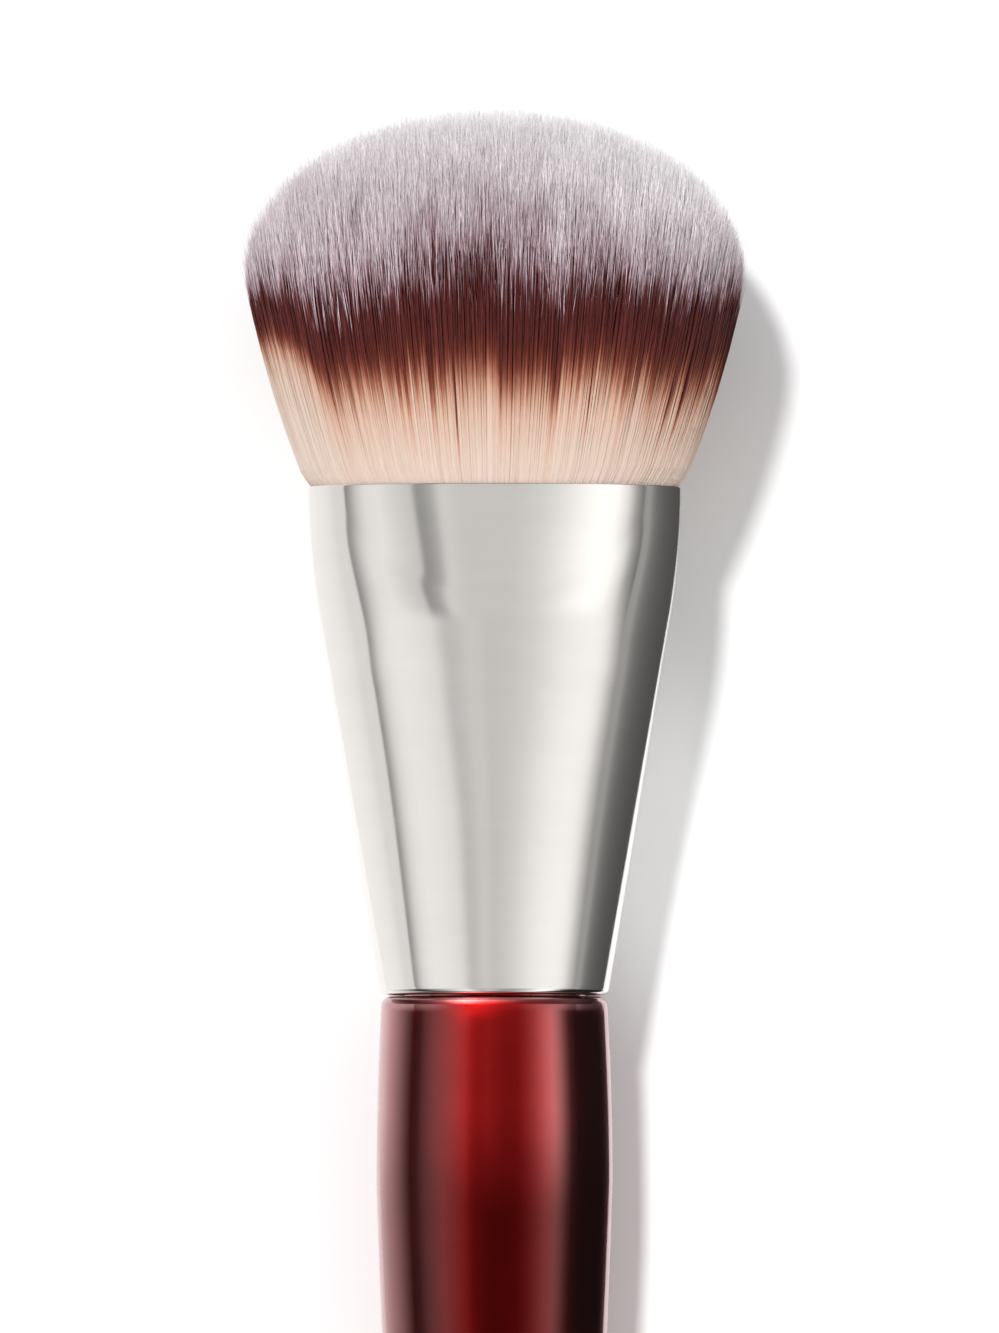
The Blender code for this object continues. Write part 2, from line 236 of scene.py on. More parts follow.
# Studio: a hood close round the handle, which gives the lacquer its streaks, and the hood's brim over the
# seam, which gives the shoulder its glow. Their light is given by roll angle too.
HOOD_AT_SEAM = (
    (-93, 1.05), (-85, 0.82), (-77, 0.63), (-70, 0.41), (-63, 0.18), (-57, 0.02), (-51, 0.05), (-43, 0.26),
    (-31, 0.60), (-24, 0.83), (-18, 0.95), (-13, 0.60), (-9, 0.50), (-5, 0.60), (0, 0.50), (6, 0.38),
    (12, 0.38), (18, 0.50), (24, 0.75), (31, 1.20), (37, 1.35), (41, 0.90), (46, 0.32), (50, 0.07),
    (56, 0.02), (93, 0.015),
)
HOOD_AT_TAIL = (
    (-93, 0.75), (-85, 0.60), (-77, 0.48), (-70, 0.33), (-63, 0.15), (-57, 0.02), (-51, 0.05), (-43, 0.20),
    (-31, 0.42), (-18, 0.40), (-12, 0.20), (-5, 0.14), (6, 0.13), (12, 0.15), (18, 0.20), (24, 0.30),
    (31, 0.45), (37, 0.46), (41, 0.30), (46, 0.10), (50, 0.03), (56, 0.015), (93, 0.01),
)
HOOD_CHANGE = (7.5 * MM, 17.0 * MM)
HOOD_RADIUS = 11.0 * MM
HOOD_REACH = math.radians(100)
HOOD_STEPS = 60
HOOD_START = 0.5 * MM
HOOD_FADE = 0.6 * MM
HOOD_PAST_TAIL = 0.04
OVER_SEAM = (
    (-95, 0.32), (-85, 0.17), (-76, 0.06), (-61, 0.06), (-47, 0.26), (-36, 0.85), (-28, 3.5), (-20, 8.6),
    (-12, 7.0), (-4, 3.2), (4, 1.7), (12, 0.8), (20, 0.33), (40, 0.18), (60, 0.16), (72, 0.08), (85, 0.04),
    (95, 0.04),
)
BRIM_RADII = (9.6 * MM, 22.0 * MM)
BRIM_HEIGHT = 2.0 * MM

# Studio: the sun that casts the shadow
KEY_ENERGY = 2.25
KEY_SOFTNESS = math.radians(5.5)
KEY_LEFT = math.radians(12.5)
KEY_FORWARD = math.radians(19)

# Studio: the floor, a pool of light painted on it beside the ferrule, and two cards for what the gloss sees
# of it.
# Each card's level changes between two distances from the brush.
FLOOR_REACH = 6.0
FLOOR_WHITE = 0.87
# Painted light: how bright the pool of light on the floor beside the ferrule is, where it lies and how far it
# reaches.
PAINTED_FLOOR_LIGHT = 0.16
PAINTED_FLOOR_LIGHT_MIDDLE = (12.5 * MM, 29.0 * MM)
PAINTED_FLOOR_LIGHT_REACH = (6.0 * MM, 14.5 * MM)
PAINTED_FLOOR_LIGHT_EDGE = (1.3, 0.3)
CARD_EDGE = 18.5 * MM
CARD_HEIGHT = 0.1 * MM
FLOOR_LEFT = (0.80, 0.98)
FLOOR_LEFT_CHANGE = (-0.085, -0.025)
FLOOR_RIGHT = (0.08, 0.36)
FLOOR_RIGHT_CHANGE = (0.02, 0.16)

# Camera: far off with a long lens, as the photograph was taken
FRAME_HEIGHT = 98.2 * MM
CAMERA_DISTANCE = 1.75
CAMERA_TILT = math.radians(5.5)
AIM_ABOVE_SEAM = 24.2 * MM
AIM_ACROSS = 0.35 * MM
SENSOR = 36.0


def brush_axes():
    """The matrix from the brush's own axes to the room's, and the handle's length. They come from the flat on
    the handle's end and the ferrule's base."""
    mount = frame["record"]["mounts"][0]
    along = -Vector(mount["axis"]).normalized()
    tail = Vector(mount["pos_m"])
    seam = min((v.co - tail).dot(along) for v in frame["nodes"]["ferrule"].data.vertices)
    across = Vector((1.0, 0.0, 0.0))
    turn = Matrix((across, along.cross(across), along)).transposed().to_4x4()
    turn.translation = tail + seam * along
    return turn, seam


BRUSH, HANDLE_LENGTH = brush_axes()
BRUSH_INVERSE = BRUSH.inverted()


def highest(node):
    """How far a node reaches along the brush's axis."""
    return max((BRUSH_INVERSE @ v.co).z for v in frame["nodes"][node].data.vertices)


MOUTH = highest("ferrule")
TENON_TOP = highest("handle")
CREASE = MOUTH - PRESS_LENGTH


def smooth_step(value, start, end):
    """0 up to start and 1 from end on, with a smooth rise between them."""
    share = np.clip((value - start) / (end - start), 0.0, 1.0)
    return share * share * (3 - 2 * share)


def placed(name, mesh, material, node):
    """Lays down a mesh made in the brush's axes, as an object that stands for a node of the frame."""
    mesh.transform(BRUSH)
    mesh.materials.append(material)
    piece = bpy.data.objects.new(name, mesh)
    bpy.context.scene.collection.objects.link(piece)
    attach(piece, "root")
    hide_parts(node)


def mesh_of(name, points, faces):
    """A smooth mesh from an array of points and arrays of faces, each with its own number of corners."""
    mesh = bpy.data.meshes.new(name)
    corners = np.concatenate([f.ravel() for f in faces])
    sizes = np.concatenate([np.full(len(f), f.shape[1]) for f in faces])
    mesh.vertices.add(len(points))
    mesh.vertices.foreach_set("co", np.ascontiguousarray(points, np.float32).ravel())
    mesh.loops.add(len(corners))
    mesh.loops.foreach_set("vertex_index", corners.astype(np.int32))
    mesh.polygons.add(len(sizes))
    mesh.polygons.foreach_set("loop_start", (np.cumsum(sizes) - sizes).astype(np.int32))
    mesh.update(calc_edges=True)
    mesh.shade_smooth()
    return mesh


def ring_faces(rings, around, closed=False):
    """Four-sided faces between each ring of points and the next, and from the last to the first if closed."""
    low = np.arange(rings if closed else rings - 1)[:, None] * around
    high = (low + around) % (rings * around)
    i = np.arange(around)[None, :]
    j = (i + 1) % around
    return np.stack([low + i, low + j, high + j, high + i], axis=-1).reshape(-1, 4)


def cap_faces(ring_start, around, point, upward):
    """Three-sided faces from a ring of points to one point."""
    i = ring_start + np.arange(around)
    j = ring_start + (np.arange(around) + 1) % around
    tip = np.full(around, point)
    return np.stack([i, j, tip] if upward else [j, i, tip], axis=-1)


def ferrule_points(height, inset, angles):
    """Points an inset below the ferrule's outer surface at a height, at these angles round the axis."""
    c, s = np.cos(angles), np.sin(angles)
    pressed = max(height - CREASE, 0.0) / PRESS_LENGTH
    power = 2 + (MOUTH_POWER - 2) * smooth_step(height, MOUTH - OVAL_LENGTH, MOUTH + OVAL_LENGTH) * 2
    middle, reach = CREASE_ZONE
    power += CREASE_SQUARENESS * math.exp(-(((height - CREASE - middle) / reach) ** 2))
    cone = height / CREASE
    width = BASE_RADIUS + (CREASE_HALF_WIDTH - BASE_RADIUS) * cone
    if pressed > 0:
        width = MOUTH_HALF_WIDTH - (MOUTH_HALF_WIDTH - CREASE_HALF_WIDTH) * (1 - pressed) ** 2
    out = np.abs(c) ** (2 / power)
    crease = CREASE + CREASE_LIFT * out**2
    cone_depth = BASE_RADIUS + (CREASE_HALF_DEPTH - BASE_RADIUS) * cone
    crease_depth = BASE_RADIUS + (CREASE_HALF_DEPTH - BASE_RADIUS) * crease / CREASE
    face_depth = crease_depth + (MOUTH_HALF_DEPTH - crease_depth) * (height - crease) / (MOUTH - crease)
    softness = CREASE_SOFTNESS + SIDE_SOFTNESS * out**2
    bend = smooth_step(height, crease - softness, crease + softness)
    depth = cone_depth + (face_depth - cone_depth) * bend
    x = (width - inset) * np.copysign(out, c)
    y = (depth - inset) * np.copysign(np.abs(s) ** (2 / power), s)
    return np.stack([x, y, np.full_like(x, height)], axis=-1)


def make_ferrule(material):
    """The plated tube, with its base edge rolled in and its lip rounded."""
    angles = np.linspace(0, 2 * math.pi, FERRULE_AROUND, endpoint=False)
    quarter = np.linspace(0, math.pi / 2, EDGE_STEPS)
    inner = FERRULE_WALL - LIP_ROUNDING
    outside = np.linspace(EDGE_ROLL, MOUTH - LIP_ROUNDING, OUTER_RINGS)[1:]
    inside = np.linspace(MOUTH - 2 * LIP_ROUNDING, 0.0, INNER_RINGS)
    levels = [(EDGE_ROLL * (1 - math.sin(a)), EDGE_ROLL * (1 - math.cos(a))) for a in quarter[::-1]]
    levels += [(height, 0.0) for height in outside]
    levels += [
        (MOUTH - LIP_ROUNDING * (1 - math.sin(a)), LIP_ROUNDING * (1 - math.cos(a))) for a in quarter[1:]
    ]
    levels += [
        (MOUTH - LIP_ROUNDING * (1 - math.cos(a)), inner + LIP_ROUNDING * math.sin(a)) for a in quarter
    ]
    levels += [(height, FERRULE_WALL) for height in inside]
    points = np.concatenate([ferrule_points(height, inset, angles) for height, inset in levels])
    mesh = mesh_of("plated_ferrule", points, [ring_faces(len(levels), FERRULE_AROUND, closed=True)])
    placed("plated_ferrule", mesh, material, "ferrule")


def handle_side(depth):
    """The handle's radius at a depth below the seam, between its rounded shoulder and its rounded tail."""
    shoulder = BASE_RADIUS - SHOULDER_STEP
    swell = shoulder + SWELL_RISE
    if depth < SWELL_DEPTH:
        return shoulder + SWELL_RISE * math.sin(math.pi / 2 * depth / SWELL_DEPTH)
    taper = (depth - SWELL_DEPTH) / (HANDLE_LENGTH - TAIL_ROUNDING - SWELL_DEPTH)
    return swell - (swell - TAIL_RADIUS) * taper**TAPER_POWER


def make_handle(material):
    """The turned handle, from its tenon in the ferrule down to the small flat on its end."""
    shoulder_end = SEAM_GAP + SHOULDER_ROUNDING
    tail_start = HANDLE_LENGTH - TAIL_ROUNDING
    corner = handle_side(shoulder_end) - SHOULDER_ROUNDING
    tail_width = TAIL_RADIUS - END_FLAT_RADIUS
    quarter = np.linspace(0, math.pi / 2, ROUNDING_STEPS)
    profile = [(TENON_RADIUS - TENON_CHAMFER, TENON_TOP), (TENON_RADIUS, TENON_TOP - TENON_CHAMFER)]
    profile += [(TENON_RADIUS, -SEAM_GAP)]
    profile += [
        (corner + SHOULDER_ROUNDING * math.sin(a), -shoulder_end + SHOULDER_ROUNDING * math.cos(a))
        for a in quarter
    ]
    depths = np.linspace(shoulder_end, tail_start, HANDLE_RINGS)[1:]
    profile += [(handle_side(depth), -depth) for depth in depths]
    profile += [
        (END_FLAT_RADIUS + tail_width * math.cos(a), -tail_start - TAIL_ROUNDING * math.sin(a))
        for a in quarter[1:]
    ]
    angles = np.linspace(0, 2 * math.pi, HANDLE_AROUND, endpoint=False)
    circle = np.stack([np.cos(angles), np.sin(angles)], axis=-1)
    rings = [np.column_stack([radius * circle, np.full(HANDLE_AROUND, height)]) for radius, height in profile]
    ends = np.array([(0.0, 0.0, TENON_TOP), (0.0, 0.0, -HANDLE_LENGTH)])
    points = np.concatenate(rings + [ends])
    last = (len(profile) - 1) * HANDLE_AROUND
    top, bottom = len(points) - 2, len(points) - 1
    faces = ring_faces(len(profile), HANDLE_AROUND)[:, ::-1]
    caps = [cap_faces(0, HANDLE_AROUND, top, True), cap_faces(last, HANDLE_AROUND, bottom, False)]
    mesh = mesh_of("lacquered_handle", points, [faces] + caps)
    mesh.set_sharp_from_angle(angle=SHARP_ANGLE)
    placed("lacquered_handle", mesh, material, "handle")


def oval_share(x, y):
    """How far out points lie in the unit oval: 0 on the axis, 1 on the outline."""
    return (np.abs(x) ** MOUTH_POWER + np.abs(y) ** MOUTH_POWER) ** (1 / MOUTH_POWER)


def dome_height(share):
    """The height of the tips above the mouth."""
    return SHOULDER_HEIGHT + (HAIR_OUT - SHOULDER_HEIGHT) * np.sqrt(np.clip(1 - share**2, 0.0, 1.0))


def head_spread(rise):
    """Half width and half depth of the hair at a share of the way from the lip (0) up to the tips (1)."""
    eased = rise * (1 + SIDE_CURVE * (1 - rise))
    width = MOUTH_HALF_WIDTH + LIP_BULGE
    depth = MOUTH_HALF_DEPTH + LIP_BULGE
    return width + (HEAD_HALF_WIDTH - width) * eased, depth + (HEAD_HALF_DEPTH - depth) * eased


def hair_line(x, y, share, height):
    """Where fibres at these places in the unit oval pass at heights above the mouth."""
    tips = dome_height(share)
    rise = np.clip((height - LIP_BULGE_HEIGHT) / (tips - LIP_BULGE_HEIGHT), 0.0, MOST_RISE)
    width, depth = head_spread(rise)
    swell = smooth_step(height, LIP_BULGE_START, LIP_BULGE_HEIGHT)
    width -= (1 - swell) * (LIP_BULGE + FERRULE_WALL)
    depth -= (1 - swell) * (LIP_BULGE + FERRULE_WALL)
    return np.stack([x * width, y * depth, MOUTH + height], axis=-1)


def band_place(x, share, height):
    """How far below the tips a place lies in the dipped bands. Painted shade lets the dark band reach further
    up in the middle of each broad face, painted light and shade slant the tips' colour across it, and painted
    light makes the dark band narrower towards the left side."""
    place = SHOULDER_HEIGHT + BAND_DOME * (dome_height(share) - SHOULDER_HEIGHT) - height
    # Painted shade in the middle of each broad face, and a painted darker patch in the pale tips.
    middle = PAINTED_MIDDLE_SHADE * np.exp(-((x * HEAD_HALF_WIDTH / MIDDLE_WIDTH) ** 2))
    middle = middle * smooth_step(place, *MIDDLE_FROM) * (1 - smooth_step(place, *MIDDLE_ENDS))
    painted_patch_shade = np.exp(-((place / MM + PATCH_ABOVE_TIPS) ** 2) * PATCH_NARROWNESS)
    middle = middle * (1 + PAINTED_PATCH_SHADE * painted_patch_shade)
    # Painted light and shade: the tips paler towards the right side and darker towards the left.
    slant = PAINTED_TIP_SLANT * x * (1 - smooth_step(place, *TIP_SLANT_ENDS))
    # Painted light: the dark band paler and narrower towards the left side.
    left = smooth_step(-x, *LEFT)
    far_left = smooth_step(-x, *FAR_LEFT)
    painted_left_drop = PAINTED_LEFT_DROP * (left + far_left) * smooth_step(place, *LEFT_DROP_FROM)
    painted_left_drop = painted_left_drop * (1 - smooth_step(place, *LEFT_DROP_ENDS))
    rise = PAINTED_LEFT_RISE * far_left * smooth_step(place, *LEFT_RISE_FROM)
    rise = rise + PAINTED_SIDE_RISE * left * smooth_step(place, *SIDE_RISE_FROM)
    return place + middle - slant - painted_left_drop + rise


def pressed_on_floor(points, lowest):
    """Squeezes what lies near the floor upwards, so that the lowest hair rests on it."""
    height = points @ np.array(BRUSH)[2, :3] + BRUSH.translation.z
    span = (PRESSED_ZONE - FLOOR_CLEARANCE) / (PRESSED_ZONE - lowest)
    raised = np.where(height < PRESSED_ZONE, PRESSED_ZONE + (height - PRESSED_ZONE) * span, height)
    return points + (raised - height)[..., None] * np.array(BRUSH)[2, :3]


def fibre_places(random):
    """Places of all fibres in the unit oval: a jittered honeycomb, dense and even but not in rows."""
    step = FIBRE_SPACING / HEAD_HALF_WIDTH
    ratio = HEAD_HALF_WIDTH / HEAD_HALF_DEPTH
    columns = np.arange(-1.0, 1.0, step)
    rows = np.arange(-1.0, 1.0, step * ratio * math.sqrt(3) / 2)
    x, y = np.meshgrid(columns, rows)
    x = x + (np.arange(len(rows)) % 2)[:, None] * step / 2
    x = x + random.uniform(-PLACE_JITTER, PLACE_JITTER, x.shape) * step
    y = y + random.uniform(-PLACE_JITTER, PLACE_JITTER, y.shape) * step * ratio
    x, y = x.ravel(), y.ravel()
    inside = oval_share(x, y) < 1.0
    return x[inside], y[inside]


def clumps(random, x, y, width):
    """Random values that fibres share with their neighbours, because hair sticks together in small clumps."""
    jitter = (-CLUMP_JITTER, CLUMP_JITTER, len(x))
    column = np.floor(x * HEAD_HALF_WIDTH / width + random.uniform(*jitter)).astype(int)
    row = np.floor(y * HEAD_HALF_DEPTH / width + random.uniform(*jitter)).astype(int)
    values = random.normal(0.0, 1.0, (5, np.ptp(column) + 1, np.ptp(row) + 1))
    return values[:, column - column.min(), row - row.min()]


def grown_fibres(random, x, y, share):
    """What differs from fibre to fibre: the height of its tip, and how it leans, bends, turns and is dyed."""
    count = len(x)
    clump = clumps(random, x, y, CLUMP_WIDTH)
    own = random.normal(0.0, 1.0, (5, count))
    own = CLUMP_SHARE * clump + math.sqrt(1 - CLUMP_SHARE**2) * own
    short = np.minimum(random.exponential(FEATHERING, count), MOST_FEATHERING)
    short = short * smooth_step(share, FEATHER_SHARE, 1.0)
    short = short * (1 - EDGE_EVENNESS * smooth_step(np.abs(x), *EVEN_EDGE))
    tips = dome_height(share) - short + random.normal(-TIP_SHORTFALL, 1.0, count) * TIP_SCATTER
    dip = BAND_SCATTER * own[0] + TUFT_SCATTER * clumps(random, x, y, TUFT_WIDTH)[0]
    streak = STREAK_LENGTH * np.clip(clumps(random, x, y, STREAK_WIDTH)[0] - 1, 0.0, STREAK_RANGE)
    lean = random.normal(0.0, FIBRE_LEAN, (count, 2))
    tone = MIDDLE_TONE + CLUMP_TONES * clump[3] + random.normal(0.0, TONE_JITTER, count)
    thick = random.uniform(*THICKNESS_RANGE, count)
    small_turn = random.normal(0.0, FIBRE_TURN, count)
    any_turn = random.uniform(0, ANY_TURN, count)
    flat_outward = np.arctan2(y * HEAD_HALF_WIDTH, x * HEAD_HALF_DEPTH) + math.pi / 3
    return tips, {
        "lean": lean,
        "bend": TIP_BEND * own[1:3].T,
        "dip": dip,
        "streak": streak,
        "short": short,
        "tone": np.clip(tone, 0.0, MOST_TONE),
        "thick": thick,
        "turn": flat_outward + np.where(share > SIDE_SHARE, small_turn, any_turn),
    }


def head_facing(x, y, share, levels, tips):
    """Which way the head's own surface faces at fibres: sideways low down, and as the dome does at the tips.
    Round the head's edge the tips face its broad sides more, because light comes through them and they look
    pale."""
    up = np.sqrt(np.clip(1 - share**2, 0.0, 1.0)) * smooth_step(levels, tips - 2 * TIP_ZONE, tips)
    dome = HAIR_OUT - SHOULDER_HEIGHT
    across = SIDE_FACING * x / HEAD_HALF_WIDTH
    edge = (2 * smooth_step(y, 0.0, EDGE_WIDTH) - 1) * np.exp(-((y / EDGE_WIDTH) ** 2))
    at_tips = smooth_step(levels, tips - EDGE_GLOW_DEPTH, tips)
    edge = edge * (EDGE_GLOW_BELOW + (1 - EDGE_GLOW_BELOW) * at_tips)
    broad = (y + EDGE_GLOW * edge) / HEAD_HALF_DEPTH
    facing = np.stack(np.broadcast_arrays(across, broad, up / dome), axis=-1)
    return facing / np.linalg.norm(facing, axis=-1, keepdims=True)


def fibre_paths(x, y, share, levels, tips, grown):
    """Where fibres pass at their levels: spread as the head is, each with its own lean and bent tip."""
    packed = ROOT_PACKING * (1 - smooth_step(levels, *PACKED_UP_TO))
    pushed = (1 - (1 - share) * (1 - packed)) / share
    line = hair_line(x * pushed, y * pushed, share, levels)
    free = np.clip(levels / SHOULDER_HEIGHT, 0.0, MOST_FREE)
    near_tip = np.clip((levels - tips) / TIP_ZONE + 1, 0.0, 1.0)
    for side in (0, 1):
        line[..., side] += grown["lean"][:, side, None] * free**2 + grown["bend"][:, side, None] * near_tip**2
    return line


def fibre_radii(levels, tips, thick):
    """How thick fibres are at their levels: pointed at the tip and stouter towards the root."""
    taper = np.clip((tips - levels) / FIBRE_TAPER, 0.0, 1.0) ** TIP_FINENESS
    radius = FIBRE_RADIUS * thick[:, None] * taper
    return radius * (1 + ROOT_THICKENING * smooth_step(tips - levels, FIBRE_TAPER, 3 * FIBRE_TAPER))


def fibre_faces(count, rings):
    """The faces of three-sided fibres of so many rings and a tip each."""
    per_fibre = rings * 3 + 1
    start = (np.arange(count) * per_fibre)[:, None, None]
    ends = np.concatenate([[[0, 2, 1]], cap_faces((rings - 1) * 3, 3, per_fibre - 1, True)])
    return [(start + ring_faces(rings, 3)).reshape(-1, 4), (start + ends).reshape(-1, 3)]


def fibre_band_place(x, share, levels, tips, grown):
    """Where each fibre's bands lie: as in the whole head, with its own dip, length, streak and pale end."""
    place = band_place(x, share, levels)
    steady = 1 - ROOT_STEADINESS * smooth_step(place, *STEADY_FROM)
    place = place + grown["dip"][:, None] - grown["short"][:, None] * steady
    place -= grown["streak"][:, None] * smooth_step(place, *STREAK_FROM)
    place -= PALE_END * np.clip(1 - (tips - levels) / PALE_END_LENGTH, 0.0, 1.0)
    return place


def write_map(mesh, across, down):
    """Writes the map that the hair's material reads: tone across, and place below the tips upwards."""
    corners = np.empty(len(mesh.loops), np.int32)
    mesh.loops.foreach_get("vertex_index", corners)
    u = MAP_MARGIN + (1 - 2 * MAP_MARGIN) * across[corners]
    v = (down[corners] - BAND_LOW) / (BAND_HIGH - BAND_LOW)
    uv = np.stack([u, np.clip(v, MAP_EDGE, 1 - MAP_EDGE)], axis=-1)
    mesh.uv_layers.new(name="OFBake").data.foreach_set("uv", uv.astype(np.float32).ravel())


def fibre_mesh(name, x, y, share, levels, grown):
    """Three-sided fibres. levels holds the heights of each fibre's rings, with the tip's own last."""
    count, rings = levels.shape[0], levels.shape[1] - 1
    x, y, share = x[:, None], y[:, None], share[:, None]
    tips = levels[:, -1:]
    line = fibre_paths(x, y, share, levels, tips, grown)
    radius = fibre_radii(levels, tips, grown["thick"])
    angle = grown["turn"][:, None, None] + np.arange(3) * 2 * math.pi / 3
    outward = np.stack([np.cos(angle), np.sin(angle), np.zeros_like(angle)], axis=-1)
    outward = np.broadcast_to(outward, (count, rings, 3, 3))
    body = line[:, :-1, None, :] + radius[:, :-1, None, None] * outward
    points = np.concatenate([body.reshape(count, rings * 3, 3), line[:, -1:, :]], axis=1)
    points = pressed_on_floor(points.reshape(-1, 3), grown["lowest"])
    mesh = mesh_of(name, points, fibre_faces(count, rings))
    place = fibre_band_place(x, share, levels, tips, grown)
    down = np.concatenate([np.repeat(place[:, :-1], 3, axis=1), place[:, -1:]], axis=1)
    sides = np.append(np.tile([0.0, 1.0, 2.0], rings), 1.0) / SIDE_TONES
    write_map(mesh, (grown["tone"][:, None] + sides).ravel(), down.ravel())
    facing = head_facing(x, y, share, levels, tips)
    soft = HULL_NORMALS * facing[:, :-1, None, :] + (1 - HULL_NORMALS) * outward
    normals = np.concatenate([soft.reshape(count, rings * 3, 3), facing[:, -1:, :]], axis=1)
    normals = normals.reshape(-1, 3)
    normals /= np.linalg.norm(normals, axis=-1, keepdims=True)
    mesh.normals_split_custom_set_from_vertices(normals.tolist())
    return mesh


def lowest_hair():
    """How low the hair would reach if the floor didn't press it."""
    floor_side = hair_line(np.zeros(1), np.ones(1), np.ones(1), np.array([SHOULDER_HEIGHT]))[0]
    return (BRUSH @ Vector(floor_side)).z - 2 * FIBRE_LEAN - FIBRE_RADIUS


def side_levels(tips):
    """The heights of the rings of fibres that are whole from inside the ferrule to their tips."""
    tips = tips[:, None]
    start = np.array([-ROOT_DEPTH, 0.0, OUT_OF_LIP, LIP_BULGE_HEIGHT])[None, :] + 0 * tips
    free = tips - LIP_BULGE_HEIGHT - FIBRE_TAPER
    middle = LIP_BULGE_HEIGHT + free * np.array([0.25, 0.5, 0.75, 1.0])[None, :]
    return np.concatenate([start, middle, tips - NEAR_TIP, tips], axis=1)


def dome_levels(tips):
    """The heights of the rings of fibres of which only the tips stand out of the core."""
    return tips[:, None] - np.array([TIP_ZONE, FIBRE_TAPER, NEAR_TIP, 0.0])[None, :]


def make_core(material, lowest):
    """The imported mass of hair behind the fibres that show."""
    angles = np.linspace(0, 2 * math.pi, CORE_AROUND, endpoint=False)
    c, s = np.cos(angles), np.sin(angles)
    unit_x = np.copysign(np.abs(c) ** (2 / MOUTH_POWER), c)
    unit_y = np.copysign(np.abs(s) ** (2 / MOUTH_POWER), s)
    rim = dome_height(CORE_SHARE) - CORE_DEPTH
    levels = [(CORE_SHARE, height) for height in np.linspace(-ROOT_DEPTH, rim, CORE_SIDE_RINGS)]
    shares = CORE_SHARE * np.cos(np.linspace(0, math.pi / 2, CORE_DOME_RINGS))[1:-1]
    levels += [(share, dome_height(share) - CORE_DEPTH) for share in shares]
    rings, places = [], []
    for share, height in levels:
        all_shares = np.full(CORE_AROUND, share)
        heights = np.full(CORE_AROUND, height)
        rings.append(hair_line(unit_x * share, unit_y * share, all_shares, heights))
        places.append(band_place(unit_x * share, all_shares, height))
    ends = np.array([(0.0, 0.0, MOUTH - ROOT_DEPTH), (0.0, 0.0, MOUTH + HAIR_OUT - CORE_DEPTH)])
    points = np.concatenate(rings + [ends])
    last = (len(rings) - 1) * CORE_AROUND
    bottom, summit = len(points) - 2, len(points) - 1
    faces = [ring_faces(len(rings), CORE_AROUND)]
    faces += [cap_faces(0, CORE_AROUND, bottom, False), cap_faces(last, CORE_AROUND, summit, True)]
    mesh = mesh_of("hair_core", pressed_on_floor(points, lowest), faces)
    down = np.concatenate(places + [[SHOULDER_HEIGHT, band_place(0.0, 0.0, HAIR_OUT - CORE_DEPTH)]])
    write_map(mesh, np.full(len(points), CORE_TONE), down)
    placed("hair_core", mesh, material, "bristle_head")


def make_hair(material):
    """The head: long fibres round its sides and shorter ones that stand out of a core all over the dome."""
    random = np.random.default_rng(SEED)
    x, y = fibre_places(random)
    share = oval_share(x, y)
    tips, grown = grown_fibres(random, x, y, share)
    lowest = lowest_hair()
    make_core(material, lowest)
    sector = (np.floor((np.arctan2(y, x) / (2 * math.pi) + 0.5) * TUFTS)).astype(int) % TUFTS
    for k in range(TUFTS):
        for long, kind in ((True, "side_hair"), (False, "dome_hair")):
            chosen = np.flatnonzero((sector == k) & ((share > SIDE_SHARE) == long))
            levels = side_levels(tips[chosen]) if long else dome_levels(tips[chosen])
            tuft = {key: value[chosen] for key, value in grown.items()}
            tuft["lowest"] = lowest
            name = f"{kind}_{k + 1}"
            mesh = fibre_mesh(name, x[chosen], y[chosen], share[chosen], levels, tuft)
            placed(name, mesh, material, "bristle_head")


def new_material(name, **values):
    """A material whose Principled shader has these values on its own sockets, and its tree."""
    material = bpy.data.materials.new(name)
    material.use_nodes = True
    shader = material.node_tree.nodes["Principled BSDF"]
    for key, value in values.items():
        shader.inputs[key.replace("_", " ")].default_value = value
    return material, material.node_tree, shader


def add_node(tree, kind, inputs=None, **settings):
    """A new node with some inputs set, by name or number, and some of its own settings."""
    node = tree.nodes.new(kind)
    for key, value in settings.items():
        setattr(node, key, value)
    for key, value in (inputs or {}).items():
        if isinstance(value, bpy.types.NodeSocket):
            tree.links.new(value, node.inputs[key])
        else:
            node.inputs[key].default_value = value
    return node


def grain_group():
    """Fine uneven grain: a value round a half for colour and roughness, and a height for a bump."""
    group = bpy.data.node_groups.new("surface_grain", "ShaderNodeTree")
    face = group.interface
    face.new_socket("Stretch", in_out="INPUT", socket_type="NodeSocketVector")
    face.new_socket("Coarse Scale", in_out="INPUT", socket_type="NodeSocketFloat")
    face.new_socket("Fine Scale", in_out="INPUT", socket_type="NodeSocketFloat")
    face.new_socket("Value", in_out="OUTPUT", socket_type="NodeSocketFloat")
    face.new_socket("Height", in_out="OUTPUT", socket_type="NodeSocketFloat")
    given = add_node(group, "NodeGroupInput")
    where = add_node(group, "ShaderNodeTexCoord")
    stretched = add_node(
        group,
        "ShaderNodeVectorMath",
        {0: where.outputs["Object"], 1: given.outputs["Stretch"]},
        operation="MULTIPLY",
    )
    coarse = add_node(
        group,
        "ShaderNodeTexNoise",
        {"Vector": stretched.outputs[0], "Scale": given.outputs["Coarse Scale"], "Detail": 4.0},
    )
    fine = add_node(
        group,
        "ShaderNodeTexNoise",
        {"Vector": stretched.outputs[0], "Scale": given.outputs["Fine Scale"], "Detail": 2.0},
    )
    result = add_node(group, "NodeGroupOutput")
    group.links.new(coarse.outputs["Fac"], result.inputs["Value"])
    group.links.new(fine.outputs["Fac"], result.inputs["Height"])
    return group


def add_grain(tree, group, stretch, coarse, fine):
    """Places the grain in a material, with its own stretch and scales."""
    return add_node(
        tree,
        "ShaderNodeGroup",
        {"Stretch": stretch, "Coarse Scale": coarse, "Fine Scale": fine},
        node_tree=group,
    )


